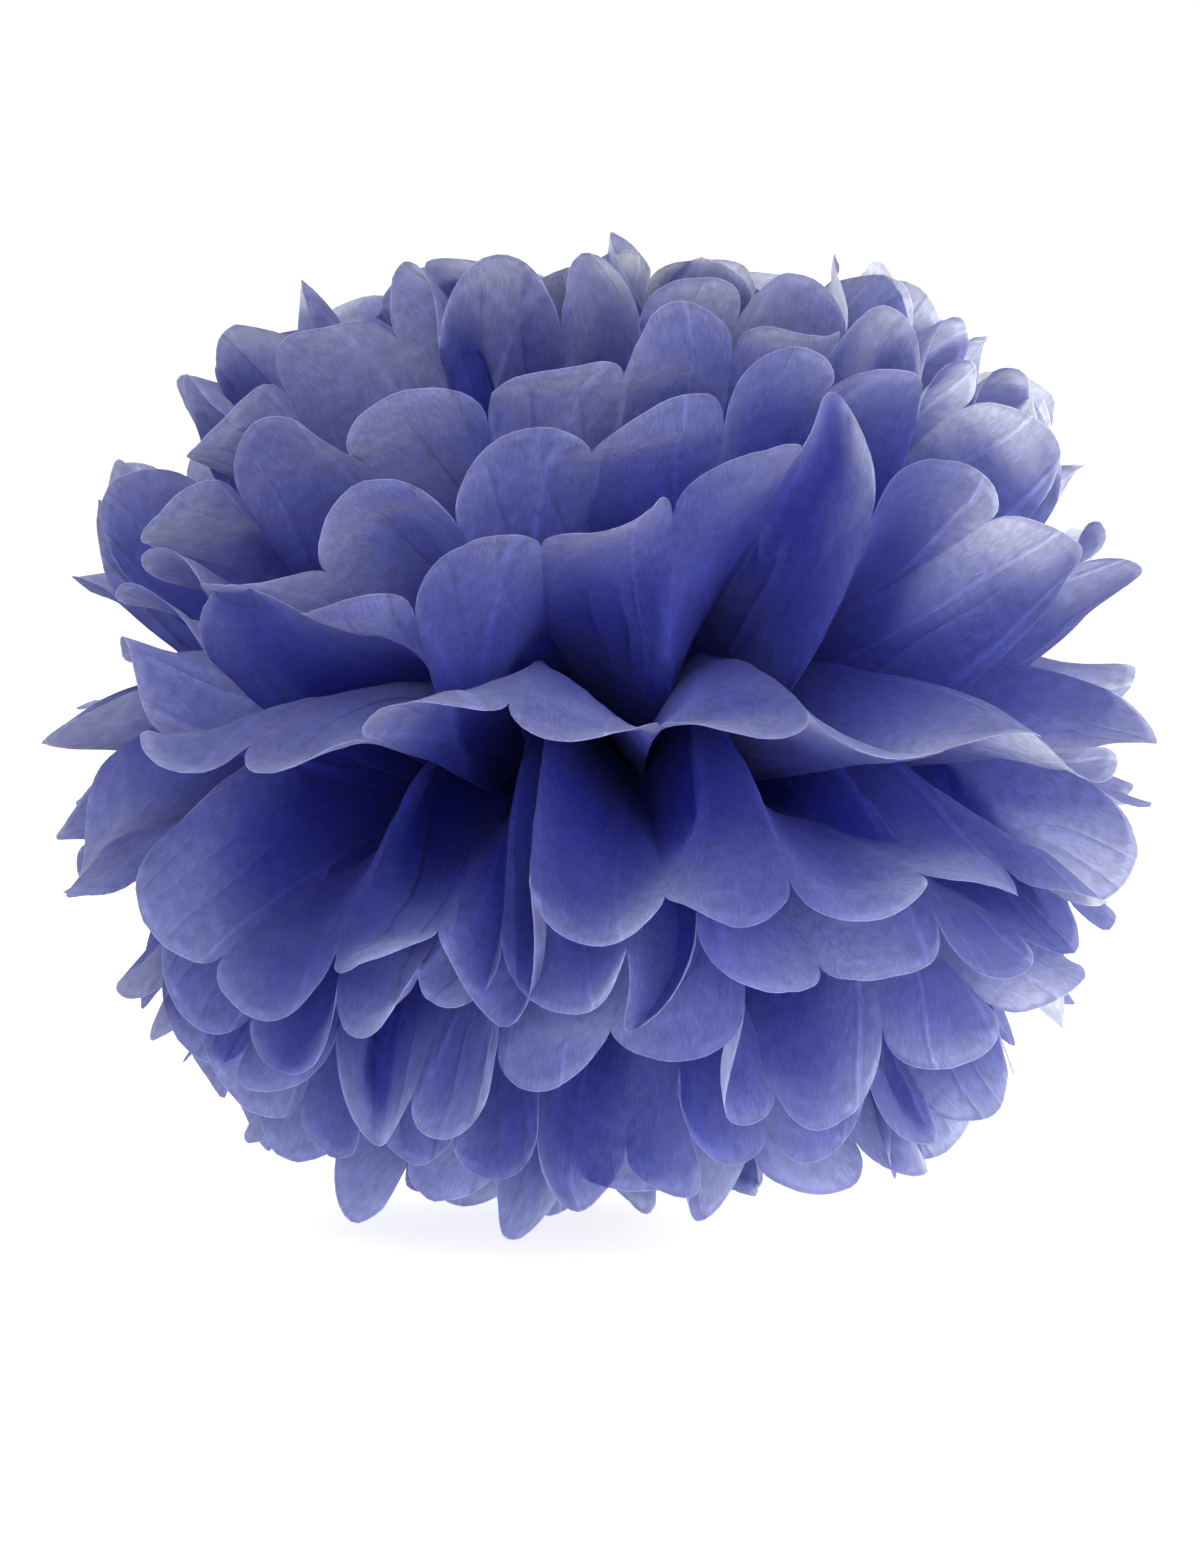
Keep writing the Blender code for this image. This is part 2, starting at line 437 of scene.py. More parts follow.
        even_room = np.linalg.norm(even[:, :, :, 1:] - even[:, :, :, :-1], axis=-1, keepdims=True)
        low = np.minimum(self.narrowest * width, np.maximum(room, self.tightest * width))
        low = np.minimum(low, even_room)
        beyond = np.maximum(self.distances() / self.notch, 1)[:, None]
        high = np.broadcast_to(self.widest * width * beyond, low.shape)
        for _ in range(self.rounds):
            points += self.pull * (target - points) * free
            bend = points - even
            unevenness = bend[..., 2:, :] + bend[..., :-2, :] - 2 * bend[..., 1:-1, :]
            bend[..., 1:-1, :] += self.smoothing * unevenness
            points += (even + bend - points) * free
            for first in (0, 1):
                self._space(points, 3, first, low[:, :, :, first::2], high[:, :, :, first::2], free)
            for first in (0, 1):
                self._space(points, 4, first, along, along, free)
            self._part(points, normal, free)
            within = np.clip(points[..., 2], self.lowest, self.highest)
            points[..., 2] += self.press * (within - points[..., 2])
        return points

    def _sway(self, random: np.random.Generator, shape: tuple[int, ...]) -> np.ndarray:
        """A slow wave over the folds of each fan, about zero.

        Args:
            random: the source of random numbers.
            shape: the shape of one number for each fold.

        Returns:
            The sine of some turns and a random phase, in that shape.
        """
        fold = np.linspace(0, 1, shape[3])[:, None, None]
        phase = random.uniform(0, 2 * np.pi, shape[:3] + (1, 1, 1))
        turns = random.uniform(*self.sway_range, shape[:3] + (1, 1, 1))
        return np.sin(2 * np.pi * turns * fold + phase)

    def _partings(self, random: np.random.Generator, shape: tuple[int, ...]) -> np.ndarray:
        """How far the folds of each fan are pushed away from one wide open pleat near the waist.

        The push is largest beside the open pleat and nothing at the seams. Along a fold it rises
        within a fifth of its length and falls to nothing at the tip. The front fans all open at
        one place, and that of one rank opens all the way.

        Args:
            random: the source of random numbers.
            shape: the shape of one number for each fold.

        Returns:
            The push of each fold at each station.
        """
        share = (self.distances() / self.reach)[:, None]
        along = ease(share, *self.parting_rise) * (1 - share) ** self.parting_fall
        place = random.integers(*self.open_pleats, shape[:3] + (1, 1, 1)) + 0.5
        place[:, :, 0] = self.front_pleat
        away = np.arange(shape[3])[:, None, None] - place
        size = self.parting * random.uniform(*self.parting_range, place.shape)
        size[:, self.open_rank, 0] = self.parting
        return size * np.tanh(2 * away) * (1 - np.abs(away) / shape[3]) * along

    def _curls(self) -> np.ndarray:
        """How far the fold lines leave the straight way to their notches, along the normal.

        With s the share of the distance to the notch, it is a third of that distance times the
        curl, times s less its fourth power. The tips turn by the curl, up in the upper half.

        Returns:
            One move for each half, rank and station.
        """
        curl = np.radians([self.opening.upper_curls, self.opening.lower_curls])
        curl = (self.signs[:, None] * curl)[:, :, None, None, None, None]
        share = (self.distances() / self.notch)[:, None]
        return -curl * self.notch / 3 * (share - share**4)

    def _place(self, target: np.ndarray) -> None:
        """Swing the fold lines of the placed fans about the waist.

        The notches of the placed folds come to lie in their directions. Each fold between takes
        a share of their swings, and a seam that isn't placed stays.

        Args:
            target: the fold lines' points, changed in place.
        """
        share = (self.distances() / self.notch)[:, None]
        middle = np.array([0, 0, self.waist.height])
        folds = np.arange(self.tissue.pleats + 1)
        for placed in PLACED:
            lines = target[list(Half).index(placed.half), placed.rank - 1, 0]
            notches = self._at_notch(lines) - middle
            length = np.linalg.norm(notches, axis=-1)
            bearing = np.degrees(np.arctan2(notches[:, 0], -notches[:, 1]) - VIEW_TURN)
            climb = np.degrees(np.arcsin(notches[:, 2] / length))
            swings = {0: (0.0, 0.0), self.tissue.pleats: (0.0, 0.0)}
            swings |= {i: (way[0] - bearing[i], way[1] - climb[i]) for i, way in placed.folds.items()}
            known = sorted(swings)
            turned, raised = (np.interp(folds, known, [swings[i][k] for i in known]) for k in (0, 1))
            turn = np.radians(bearing + turned) + VIEW_TURN
            rise = np.radians(climb + raised)
            level = np.cos(rise)
            way = np.stack([np.sin(turn) * level, -np.cos(turn) * level, np.sin(rise)], -1)
            lines += (way * length[:, None] - notches)[:, None] * share

    def _at_notch(self, lines: np.ndarray) -> np.ndarray:
        """The points of fold lines where their paper ends, between two round cuts.

        Args:
            lines: the fold lines' points, with the stations on the last axis but one.

        Returns:
            One point for each line.
        """
        place = self.notch / self.reach * (self.stations - 1)
        low = int(place)
        return lines[..., low, :] + (lines[..., low + 1, :] - lines[..., low, :]) * (place - low)

    def _space(self, points: np.ndarray, axis: int, first: int, low: np.ndarray | float,
               high: np.ndarray | float, free: np.ndarray) -> None:
        """Move neighbours along an axis, in pairs, until their gap is between two lengths.

        Args:
            points: the fold lines' points, changed in place.
            axis: 3 for neighbouring folds, 4 for neighbouring stations.
            first: the index of the first pair's first point.
            low: the least gap.
            high: the greatest gap.
            free: one for the stations that may move, zero for the others.
        """
        end = first + 2 * ((points.shape[axis] - first) // 2)
        cut = [slice(None)] * points.ndim
        cut[axis] = slice(first, end, 2)
        near = tuple(cut)
        cut[axis] = slice(first + 1, end, 2)
        far = tuple(cut)
        gap = points[far] - points[near]
        length = np.maximum(np.linalg.norm(gap, axis=-1, keepdims=True), TINY)
        change = gap / length * (np.clip(length, low, high) - length)
        near_free, far_free = free[near[4]], free[far[4]]
        total = np.maximum(near_free + far_free, 1)
        points[near] -= change * near_free / total
        points[far] += change * far_free / total

    def _part(self, points: np.ndarray, normal: np.ndarray, free: np.ndarray) -> None:
        """Push neighbouring rings apart along their normal, more so towards the tips.

        Args:
            points: the fold lines' points, changed in place.
            normal: the rings' normals at those points.
            free: one for the stations that may move, zero for the others.
        """
        gap = self.clear * ease(self.distances(), *self.clear_rise)[:, None]
        signs = self.signs[:, None, None, None, None, None]
        rise = np.sum((points[:, 1:] - points[:, :-1]) * normal[:, 1:], -1, keepdims=True) * signs
        push = np.maximum(gap - rise, 0) / 2 * signs * normal[:, 1:] * free
        points[:, 1:] += push
        points[:, :-1] -= push


@dataclass
class Paper:
    """The paper between the fold lines, as one grid of points for each sheet.

    Of a pair, a rise is where a smooth rise starts and ends, and a size is how far apart marks
    lie across and along the sheet.
    """

    ribs: Ribs
    seed: int = 5

    # The grid, in faces for each pleat, and its rows between the two fans.
    across: int = 18
    along: int = 40
    joining: int = 3
    end_power: int = 4

    # How the scissors went.
    uneven: float = 0.0016
    ragged: float = 0.0007
    ragged_width: float = 0.006
    ragged_spread: float = 50.0

    # How the pleats bow, cup and curl.
    bow: float = 0.45
    bow_rise: Pair = (0.0, 0.3)
    slack: float = 0.6
    outward: float = 0.75
    closing: Pair = (0.12, 0.35)
    cup: float = 0.0022
    cup_rise: Pair = (0.2, 0.8)
    curl: float = 0.007
    curl_rise: Pair = (0.55, 1.15)

    # How the paper is crumpled.
    crumple: float = 0.0006
    crumple_rise: Pair = (0.004, 0.03)
    dent: float = 1.6
    dent_size: Pair = (0.014, 0.018)
    crest: float = 0.6
    crease: float = 1.6
    wrinkle_size: Pair = (0.0045, 0.045)
    calming: float = 0.6
    calming_rise: Pair = (0.05, 0.16)
    sheet_shift: float = 7.3
    side_shift: float = 31.0

    def shares(self) -> np.ndarray:
        """The shares of a pleat's width at its columns, closer together near the folds."""
        return (1 - np.cos(np.pi * np.arange(self.across + 1) / self.across)) / 2

    def reaches(self, random: np.random.Generator) -> tuple[np.ndarray, np.ndarray]:
        """The distances from the waist of one sheet's grid, and of its cut.

        The cut is half an ellipse as deep as the round cut. Scissors leave some pleats a little
        short and the edge slightly ragged. The rows bend to the cut with a power of their
        share, so that they stay level near the waist.

        Args:
            random: the sheet's own source of random numbers.

        Returns:
            Both distances over side, pleat, column and row.
        """
        pleats = self.ribs.tissue.pleats
        share = self.shares()[:, None]
        row = np.linspace(0, 1, self.along + 1)[None, :]
        whole = self.ribs.reach
        bulge = np.sqrt(np.maximum(1 - (2 * share - 1) ** 2, 0))
        short = np.abs(random.normal(0, self.uneven, (2, pleats, 1, 1))) * bulge
        across = (np.arange(pleats)[:, None, None] + share) * self.ribs.tissue.pleat_width
        shift = random.uniform(0, self.ragged_spread, (2, 1, 1, 1))
        hills = Hills(self.seed + 3)(across / self.ragged_width + shift, shift + 0 * across)
        end = whole - self.ribs.tissue.round_cut * (1 - bulge) - short - self.ragged * (1 + hills)
        reach = row * whole - (whole - end) * row**self.end_power
        return reach, end + 0 * row

    def lines(self, points: np.ndarray, reach: np.ndarray) -> np.ndarray:
        """Points of fold lines at given distances, on a cubic through each four stations.

        Args:
            points: one fold line for each pleat, over side, pleat, station and coordinate.
            reach: distances over side, pleat, column and row.

        Returns:
            The points, over side, pleat, column, row and coordinate.
        """
        last_station = self.ribs.stations - 1
        first = 2 * points[:, :, :1] - points[:, :, 1:2]
        last = 2 * points[:, :, -1:] - points[:, :, -2:-1]
        wide = np.concatenate([first, points, last], 2)
        just_below = 1e-9
        place = np.clip(reach / (self.ribs.reach / last_station), 0, last_station - just_below)
        low = place.astype(int)
        f = (place - low)[..., None]
        side, pleat = (index[..., None, None] for index in np.indices(points.shape[:2]))
        p0, p1, p2, p3 = (wide[side, pleat, low + i] for i in range(4))
        return 0.5 * (2 * p1 + (p2 - p0) * f + (2 * p0 - 5 * p1 + 4 * p2 - p3) * f**2
                      + (3 * p1 - p0 - 3 * p2 + p3) * f**3)

    def lay(self, half: int, rank: int, points: np.ndarray) -> np.ndarray:
        """Lay one sheet's paper between its fold lines.

        Across a pleat the paper is the straight line between its two folds, plus a bow of
        4 t (1 - t) along its normal. The bow takes up the paper's spare width, up to a limit: it
        is the root of three sixteenths of the squared pleat width less the squared gap. A random
        cup and curl come on top. Straight rows join the front and back fans through the waist.

        Args:
            half: 0 for upper, 1 for lower.
            rank: the sheet's place in its half, from zero.
            points: the sheet's fold lines, over side, fold, station and coordinate.

        Returns:
            The sheet over column and row. Six numbers make a point: its place, its flat place
            across and along the sheet, and its distance to the cut.
        """
        width = self.ribs.tissue.pleat_width
        pleats = self.ribs.tissue.pleats
        random = np.random.default_rng([self.seed, half, rank])
        reach, end = self.reaches(random)
        near, far = self.lines(points[:, :-1], reach), self.lines(points[:, 1:], reach)
        chord = far - near
        length = np.linalg.norm(chord, axis=-1, keepdims=True)
        forward = np.gradient(near + far, axis=3)
        inwards = np.array([-1.0, 1.0])[:, None, None, None, None] * (1 - 2 * half)
        normal = unit(np.cross(forward, chord)) * inwards
        share = self.shares()[:, None, None]
        hump = 4 * share * (1 - share)
        far_out = (reach / self.ribs.reach)[..., None]
        bow = np.sqrt(3 / 16 * (width**2 - np.minimum(length, width) ** 2))
        bow = np.minimum(bow, self.bow * width) * ease(far_out, *self.bow_rise)
        each = (2, pleats, 1, 1, 1)
        loose = random.choice([-1, 1], each, p=[1 - self.outward, self.outward])
        closed = ease(1 - length / width, *self.closing)
        bow = bow * (closed + (1 - closed) * loose * self.slack)
        cup = random.normal(0, self.cup, each) * ease(far_out, *self.cup_rise)
        curl = random.normal(0, self.curl, each) * ease(far_out, *self.curl_rise)
        place = near + share * chord + (bow + cup + curl) * hump * normal
        across = (np.arange(pleats)[:, None, None] + share[..., 0]) * width + 0 * reach
        pleated = np.concatenate([place, np.stack([across, reach, end - reach], -1)], -1)
        body = pleated[:, :, :-1].reshape(2, -1, *pleated.shape[3:])
        sheet = np.concatenate([body, pleated[:, -1, -1:]], 1)
        sheet[..., PLACE] += self._crumples(sheet, half * self.ribs.opening.ranks + rank)
        sheet[..., ALONG] += self.ribs.waist.radius + self.ribs.waist.split / 2
        sheet[0, ..., ALONG] *= -1
        front, back = sheet[0, :, ::-1], sheet[1]
        row = (np.arange(self.joining) + 1)[:, None] / (self.joining + 1)
        bridge = front[:, -1:] * (1 - row) + back[:, :1] * row
        return np.concatenate([front, bridge, back], 1)

    def _crumples(self, sheet: np.ndarray, number: int) -> np.ndarray:
        """Small dents and long wrinkles, as moves along the paper's own normal.

        Args:
            sheet: the paper's points, over side, column and row.
            number: the sheet's number, which sets where its marks lie.

        Returns:
            One move for each point.
        """
        place, across, along = sheet[..., PLACE], sheet[..., ACROSS], sheet[..., ALONG]
        normal = unit(np.cross(np.gradient(place, axis=2), np.gradient(place, axis=1)))
        shift = self.sheet_shift * number + self.side_shift * np.arange(2)[:, None, None]
        wide, long = self.dent_size
        dents = Hills(self.seed + 1)(across / wide + shift, along / long)
        wide, long = self.wrinkle_size
        wrinkles = Hills(self.seed + 2)(across / wide + shift, along / long)
        wrinkles = self.crest - self.crease * np.abs(wrinkles)
        calm = 1 - self.calming * ease(along, *self.calming_rise)
        size = self.crumple * (self.dent * dents + wrinkles * calm)
        return normal * (size * ease(along, *self.crumple_rise))[..., None]


def grid_mesh(name: str, sheet: np.ndarray, flat: Pair) -> bpy.types.Object:
    """A mesh of the laid paper, with its flat places as a UV map and its distance to the cut.

    Args:
        name: the object's name.
        sheet: the paper's points, over column and row.
        flat: the flat sheet's width and length, which the UV map is a share of.

    Returns:
        The object, linked to the scene.
    """
    columns, rows = sheet.shape[:2]
    index = np.arange(columns * rows).reshape(columns, rows)
    quads = np.stack([index[:-1, :-1], index[:-1, 1:], index[1:, 1:], index[1:, :-1]], -1)
    corners = quads.reshape(-1)
    count = len(corners) // 4
    mesh = bpy.data.meshes.new(name)
    mesh.vertices.add(columns * rows)
    mesh.vertices.foreach_set("co", sheet[..., PLACE].reshape(-1))
    mesh.loops.add(len(corners))
    mesh.loops.foreach_set("vertex_index", corners)
    mesh.polygons.add(count)
    mesh.polygons.foreach_set("loop_start", np.arange(count) * 4)
    mesh.polygons.foreach_set("loop_total", np.full(count, 4))
    mesh.polygons.foreach_set("use_smooth", np.ones(count, bool))
    layer = mesh.uv_layers.new(name="flat_sheet")
    shares = [sheet[..., ACROSS] / flat[0], sheet[..., ALONG] / flat[1] + 0.5]
    layer.data.foreach_set("uv", np.stack(shares, -1).reshape(-1, 2)[corners].reshape(-1))
    edge = mesh.attributes.new("cut_distance", "FLOAT", "POINT")
    edge.data.foreach_set("value", sheet[..., CUT].reshape(-1))
    mesh.update(calc_edges=True)
    mesh.validate()
    piece = bpy.data.objects.new(name, mesh)
    bpy.context.scene.collection.objects.link(piece)
    return piece


class Nodes:
    """Adds nodes to one tree and joins them up, from output to input."""

    def __init__(self, tree: bpy.types.NodeTree) -> None:
        """Take the tree that the nodes go in."""
        self.tree = tree

    def fill(self, node: bpy.types.Node, values: dict[str | int, object]) -> bpy.types.Node:
        """Set a node's inputs, or link them.

        Args:
            node: the node.
            values: a value or another node's output, for each input by its name or place.

        Returns:
            The node.
        """
        for place, value in values.items():
            if isinstance(value, Socket):
                self.tree.links.new(value, node.inputs[place])
            else:
                node.inputs[place].default_value = value
        return node

    def add(self, kind: str, values: dict[str | int, object] | None = None) -> bpy.types.Node:
        """Add a node of a kind, its class name without ShaderNode, and fill it."""
        return self.fill(self.tree.nodes.new(f"ShaderNode{kind}"), values or {})

    def maths(self, operation: str, *values: object) -> Socket:
        """The output of a maths node.

        Args:
            operation: its operation, as the node names it.
            values: what its inputs get, as in fill.

        Returns:
            The output.
        """
        node = self.add("Math", dict(enumerate(values)))
        node.operation = operation
        return node.outputs[0]

    def grain(self, vector: Socket, scale: Scale, detail: float,
              turn: float = 0.0) -> Socket:
        """Noise over a vector, from zero to one.

        Args:
            vector: the vector.
            scale: the noise's marks a metre along each axis.
            detail: how many finer noises lie over it.
            turn: its turn about the third axis, in radians.

        Returns:
            The noise.
        """
        placing = self.add("Mapping", {"Vector": vector, "Scale": scale, "Rotation": (0, 0, turn)})
        noise = self.add("TexNoise", {"Vector": placing.outputs[0], "Scale": 1, "Detail": detail})
        return noise.outputs["Fac"]

    def lines(self, noise: Socket, sharpness: float) -> Socket:
        """One on the lines where a noise crosses a half, falling to zero beside them.

        Args:
            noise: the noise.
            sharpness: how fast the lines fall off as the noise leaves a half.

        Returns:
            The lines.
        """
        offset = self.maths("ABSOLUTE", self.maths("SUBTRACT", noise, 0.5))
        fall = self.maths("MINIMUM", self.maths("MULTIPLY", offset, sharpness), 1.0)
        return self.maths("SUBTRACT", 1.0, fall)

    def blend(self, near: Colour, far: Colour, share: Socket) -> Socket:
        """A colour that goes from one to another.

        Args:
            near: the colour at share zero.
            far: the colour at share one.
            share: the share.

        Returns:
            The colour.
        """
        mix = self.add("Mix", {0: share})
        mix.data_type = "RGBA"
        first, second = [place for place in mix.inputs if place.type == "RGBA"]
        first.default_value = (*near, 1)
        second.default_value = (*far, 1)
        return next(place for place in mix.outputs if place.type == "RGBA")

    def scaled(self, colour: Socket, light: Socket) -> Socket:
        """A colour made lighter or darker.

        Args:
            colour: the colour.
            light: what it is multiplied by.

        Returns:
            The new colour.
        """
        scale = self.add("VectorMath", {0: colour})
        scale.operation = "SCALE"
        self.fill(scale, {"Scale": light})
        return scale.outputs[0]


@dataclass(frozen=True)
class TissueMarks:
    """The marks of tissue over its flat places in metres.

    Mottle is the cloudy thickness of the pulp with short fibres over it, about zero. Wrinkles is
    a height of short creases with long ones over them. Creases is one along the long straight
    ones, which run out from the waist, and less along the short ones, which come in patches; it
    sets where the creases get a painted highlight.
    Scales are in marks a metre and turns in radians.
    """

    clouds: Scale = (240, 240, 1)
    cloud_share: float = 0.6
    mean_mottle: float = 0.55
    fibres: Scale = (1600, 320, 1)
    fibre_turns: Pair = (0.6, -0.9)
    patches: Scale = (22, 16, 1)
    patch_turn: float = 0.8
    patch_gain: float = 4.0
    patch_offset: float = -1.6
    least_patch: float = 0.1
    straight: Scale = (13, 1.2, 1)
    leaning: Scale = (9, 1.8, 1)
    leaning_turn: float = 0.3
    line_sharpness: float = 120
    line_height: float = 0.3
    short: Scale = (55, 8, 1)
    short_turn: float = 0.1
    short_sharpness: float = 8
    short_power: float = 3.0
    short_highlight: float = 0.5

    def group(self) -> bpy.types.NodeTree:
        """The node group of the marks.

        Returns:
            The group.
        """
        group = bpy.data.node_groups.new("tissue_marks", "ShaderNodeTree")
        group.interface.new_socket("Flat Place", in_out="INPUT", socket_type="NodeSocketVector")
        for name in ("Mottle", "Wrinkles", "Crease Highlights"):
            group.interface.new_socket(name, in_out="OUTPUT", socket_type="NodeSocketFloat")
        nodes = Nodes(group)
        start = group.nodes.new("NodeGroupInput").outputs[0]
        clouds = nodes.grain(start, self.clouds, 2)
        fibres, others = (nodes.grain(start, self.fibres, 1, turn) for turn in self.fibre_turns)
        fibres = nodes.maths("MULTIPLY", fibres, others)
        mottle = nodes.maths("MULTIPLY_ADD", clouds, self.cloud_share, fibres)
        patches = nodes.grain(start, self.patches, 0, self.patch_turn)
        patches = nodes.maths("MULTIPLY_ADD", patches, self.patch_gain, self.patch_offset)
        patches = nodes.maths("MAXIMUM", patches, self.least_patch)
        patches = nodes.maths("MINIMUM", patches, 1.0)
        straight = nodes.lines(nodes.grain(start, self.straight, 0), self.line_sharpness)
        leaning = nodes.grain(start, self.leaning, 0, self.leaning_turn)
        long = nodes.maths("MAXIMUM", straight, nodes.lines(leaning, self.line_sharpness))
        short = nodes.grain(start, self.short, 1, self.short_turn)
        short = nodes.maths("POWER", nodes.lines(short, self.short_sharpness), self.short_power)
        short = nodes.maths("MULTIPLY", short, patches)
        nodes.fill(group.nodes.new("NodeGroupOutput"), {
            "Mottle": nodes.maths("SUBTRACT", mottle, self.mean_mottle),
            "Wrinkles": nodes.maths("MULTIPLY_ADD", long, self.line_height, short),
            "Crease Highlights": nodes.maths("MULTIPLY_ADD", short, self.short_highlight, long),
        })
        return group


def new_material(name: str) -> tuple[bpy.types.Material, Nodes, bpy.types.Node]:
    """A new material with its nodes and its shader.

    Args:
        name: the material's name.

    Returns:
        The material, its nodes and its Principled BSDF.
    """
    material = bpy.data.materials.new(name)
    material.use_nodes = True
    return material, Nodes(material.node_tree), material.node_tree.nodes["Principled BSDF"]


@dataclass(frozen=True)
class TissueFinish:
    """Thin dyed tissue: it scatters light back and lets a good part through. Its colour is darker
    further from the cut, as painted shade, and lighter at the cut edge and along creases, as painted
    highlights.
    """

    face: Colour = (0.15, 0.165, 0.60)
    # painted shade: these deeper colours darken the paper far from the cut, standing in for the shade
    # deep inside the ball
    painted_shade_face: Colour = (0.10, 0.112, 0.64)
    through: Colour = (0.735, 0.76, 0.88)
    painted_shade_through: Colour = (0.665, 0.70, 0.925)
    shade_reach: float = 0.070
    share_through: float = 0.78
    roughness: float = 0.9
    specular: float = 0.2
    sheen: float = 0.25
    sheen_roughness: float = 0.5
    marks: TissueMarks = TissueMarks()
    mottle: float = 0.5
    wrinkle_height: float = 0.0010
    # painted highlight: a thin band along the cut edge is drawn lighter
    cut_highlight_width: float = 0.0004
    cut_highlight: float = 0.2
    # painted highlight: the creases are drawn lighter
    crease_highlight: float = 0.09

    def material(self, flat: Pair) -> bpy.types.Material:
        """The tissue's material.

        Args:
            flat: the flat sheet's width and length, which the UV map is a share of.

        Returns:
            The material.
        """
        material, nodes, shader = new_material("tissue_paper")
        place = nodes.add("UVMap")
        place.uv_map = "flat_sheet"
        metres = nodes.add("Mapping", {"Vector": place.outputs[0], "Scale": (*flat, 1)})
        marks = nodes.add("Group")
        marks.node_tree = self.marks.group()
        nodes.fill(marks, {0: metres.outputs[0]})
        attribute = nodes.add("Attribute")
        attribute.attribute_name = "cut_distance"
        cut = attribute.outputs["Fac"]
        # the colour's multiplier is the real mottle of the pulp, plus a painted highlight along the cut
        # edge and on the creases
        rim = nodes.maths("LESS_THAN", cut, self.cut_highlight_width)
        light = nodes.maths("MULTIPLY_ADD", marks.outputs["Mottle"], self.mottle, 1.0)
        light = nodes.maths("MULTIPLY_ADD", rim, self.cut_highlight, light)
        # painted highlight along the creases
        light = nodes.maths("MULTIPLY_ADD", marks.outputs["Crease Highlights"], self.crease_highlight, light)
        # painted shade: the colours darken with the distance from the cut, up to the shade reach
        shade_share = nodes.add("MapRange", {"Value": cut, "From Max": self.shade_reach})
        shade_share.interpolation_type = "SMOOTHSTEP"
        face = nodes.blend(self.face, self.painted_shade_face, shade_share.outputs[0])
        through = nodes.blend(self.through, self.painted_shade_through, shade_share.outputs[0])
        bump = nodes.add("Bump", {"Height": marks.outputs["Wrinkles"], "Strength": 1.0,
                                  "Distance": self.wrinkle_height})
        nodes.fill(shader, {
            "Base Color": nodes.scaled(face, light),
            "Roughness": self.roughness,
            "Specular IOR Level": self.specular,
            "Sheen Weight": self.sheen,
            "Sheen Roughness": self.sheen_roughness,
            "Normal": bump.outputs[0],
        })
        glow = nodes.add("BsdfTranslucent", {"Color": nodes.scaled(through, light),
                                             "Normal": bump.outputs[0]})
        both = nodes.add("MixShader", {0: self.share_through, 1: shader.outputs[0], 2: glow.outputs[0]})
        nodes.fill(material.node_tree.nodes["Material Output"], {"Surface": both.outputs[0]})
        return material


@dataclass(frozen=True)
class WireFinish:
    """Soft grey steel wire, duller in patches and finely streaked from drawing."""

    steel: Colour = (0.36, 0.37, 0.39)
    dull: Colour = (0.20, 0.20, 0.21)
    patches: Scale = (600, 600, 600)
    streaks: Scale = (9000, 9000, 900)
    least_roughness: float = 0.35
    most_roughness: float = 0.6
    streak_height: float = 0.00002

    def material(self) -> bpy.types.Material:
        """The wire's material.

        Returns:
            The material.
        """
        material, nodes, shader = new_material("tie_wire_steel")
        place = nodes.add("TexCoord").outputs["Object"]
        patches = nodes.grain(place, self.patches, 3)
        streaks = nodes.grain(place, self.streaks, 1)
        span = self.most_roughness - self.least_roughness
        bump = nodes.add("Bump", {"Height": streaks, "Distance": self.streak_height})
        nodes.fill(shader, {
            "Metallic": 1.0,
            "Base Color": nodes.blend(self.steel, self.dull, patches),
            "Roughness": nodes.maths("MULTIPLY_ADD", streaks, span, self.least_roughness),
            "Normal": bump.outputs[0],
        })
        return material


@dataclass(frozen=True)
class FloorFinish:
    """A matt floor with a glow of its own, white where it meets the white room."""

    grey: float = 0.5
    glow: float = 0.75

    def material(self) -> bpy.types.Material:
        """The floor's material.

        Returns:
            The material.
        """
        material, nodes, shader = new_material("white_floor")
        nodes.fill(shader, {
            "Base Color": (self.grey, self.grey, self.grey, 1),
            "Roughness": 1.0,
            "Emission Color": (1, 1, 1, 1),
            "Emission Strength": self.glow,
        })
        return material


@dataclass
class TieWire:
    """The wire round the waist. The CAD piece stays and gets its finish."""

    node: str = "tie_wire"
    finish: WireFinish = WireFinish()

    def build(self) -> None:
        """Dress the CAD piece."""
        material = self.finish.material()
        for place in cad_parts[self.node].material_slots:
            place.material = material
        log.info("dressed %s", self.node)


@dataclass
class PomPom:
    """The twelve sheets, laid round the frame's waist."""

    tissue: Tissue = Tissue()
    waist: Waist = Waist()
    opening: Opening = Opening()
    finish: TissueFinish = TissueFinish()

    def build(self) -> None:
        """Build and finish every sheet, and hang it from the root body."""
        ribs = Ribs(self.tissue, self.waist, self.opening)
        paper = Paper(ribs)
        points = ribs.tease()
        flat = (self.tissue.width, self.tissue.length)
        material = self.finish.material(flat)
        for number, half in enumerate(Half):
            for rank in range(self.opening.ranks):
                name = f"{half.name.lower()}_sheet_{rank + 1}"
                piece = grid_mesh(f"{name}_paper", paper.lay(number, rank, points[number, rank]), flat)
                piece.data.materials.append(material)
                wall = piece.modifiers.new("paper_thickness", "SOLIDIFY")
                wall.thickness = self.tissue.thickness
                wall.offset = 0
                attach(piece, "root")
                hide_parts(name)
                log.info("laid %s, %d points", piece.name, len(piece.data.vertices))


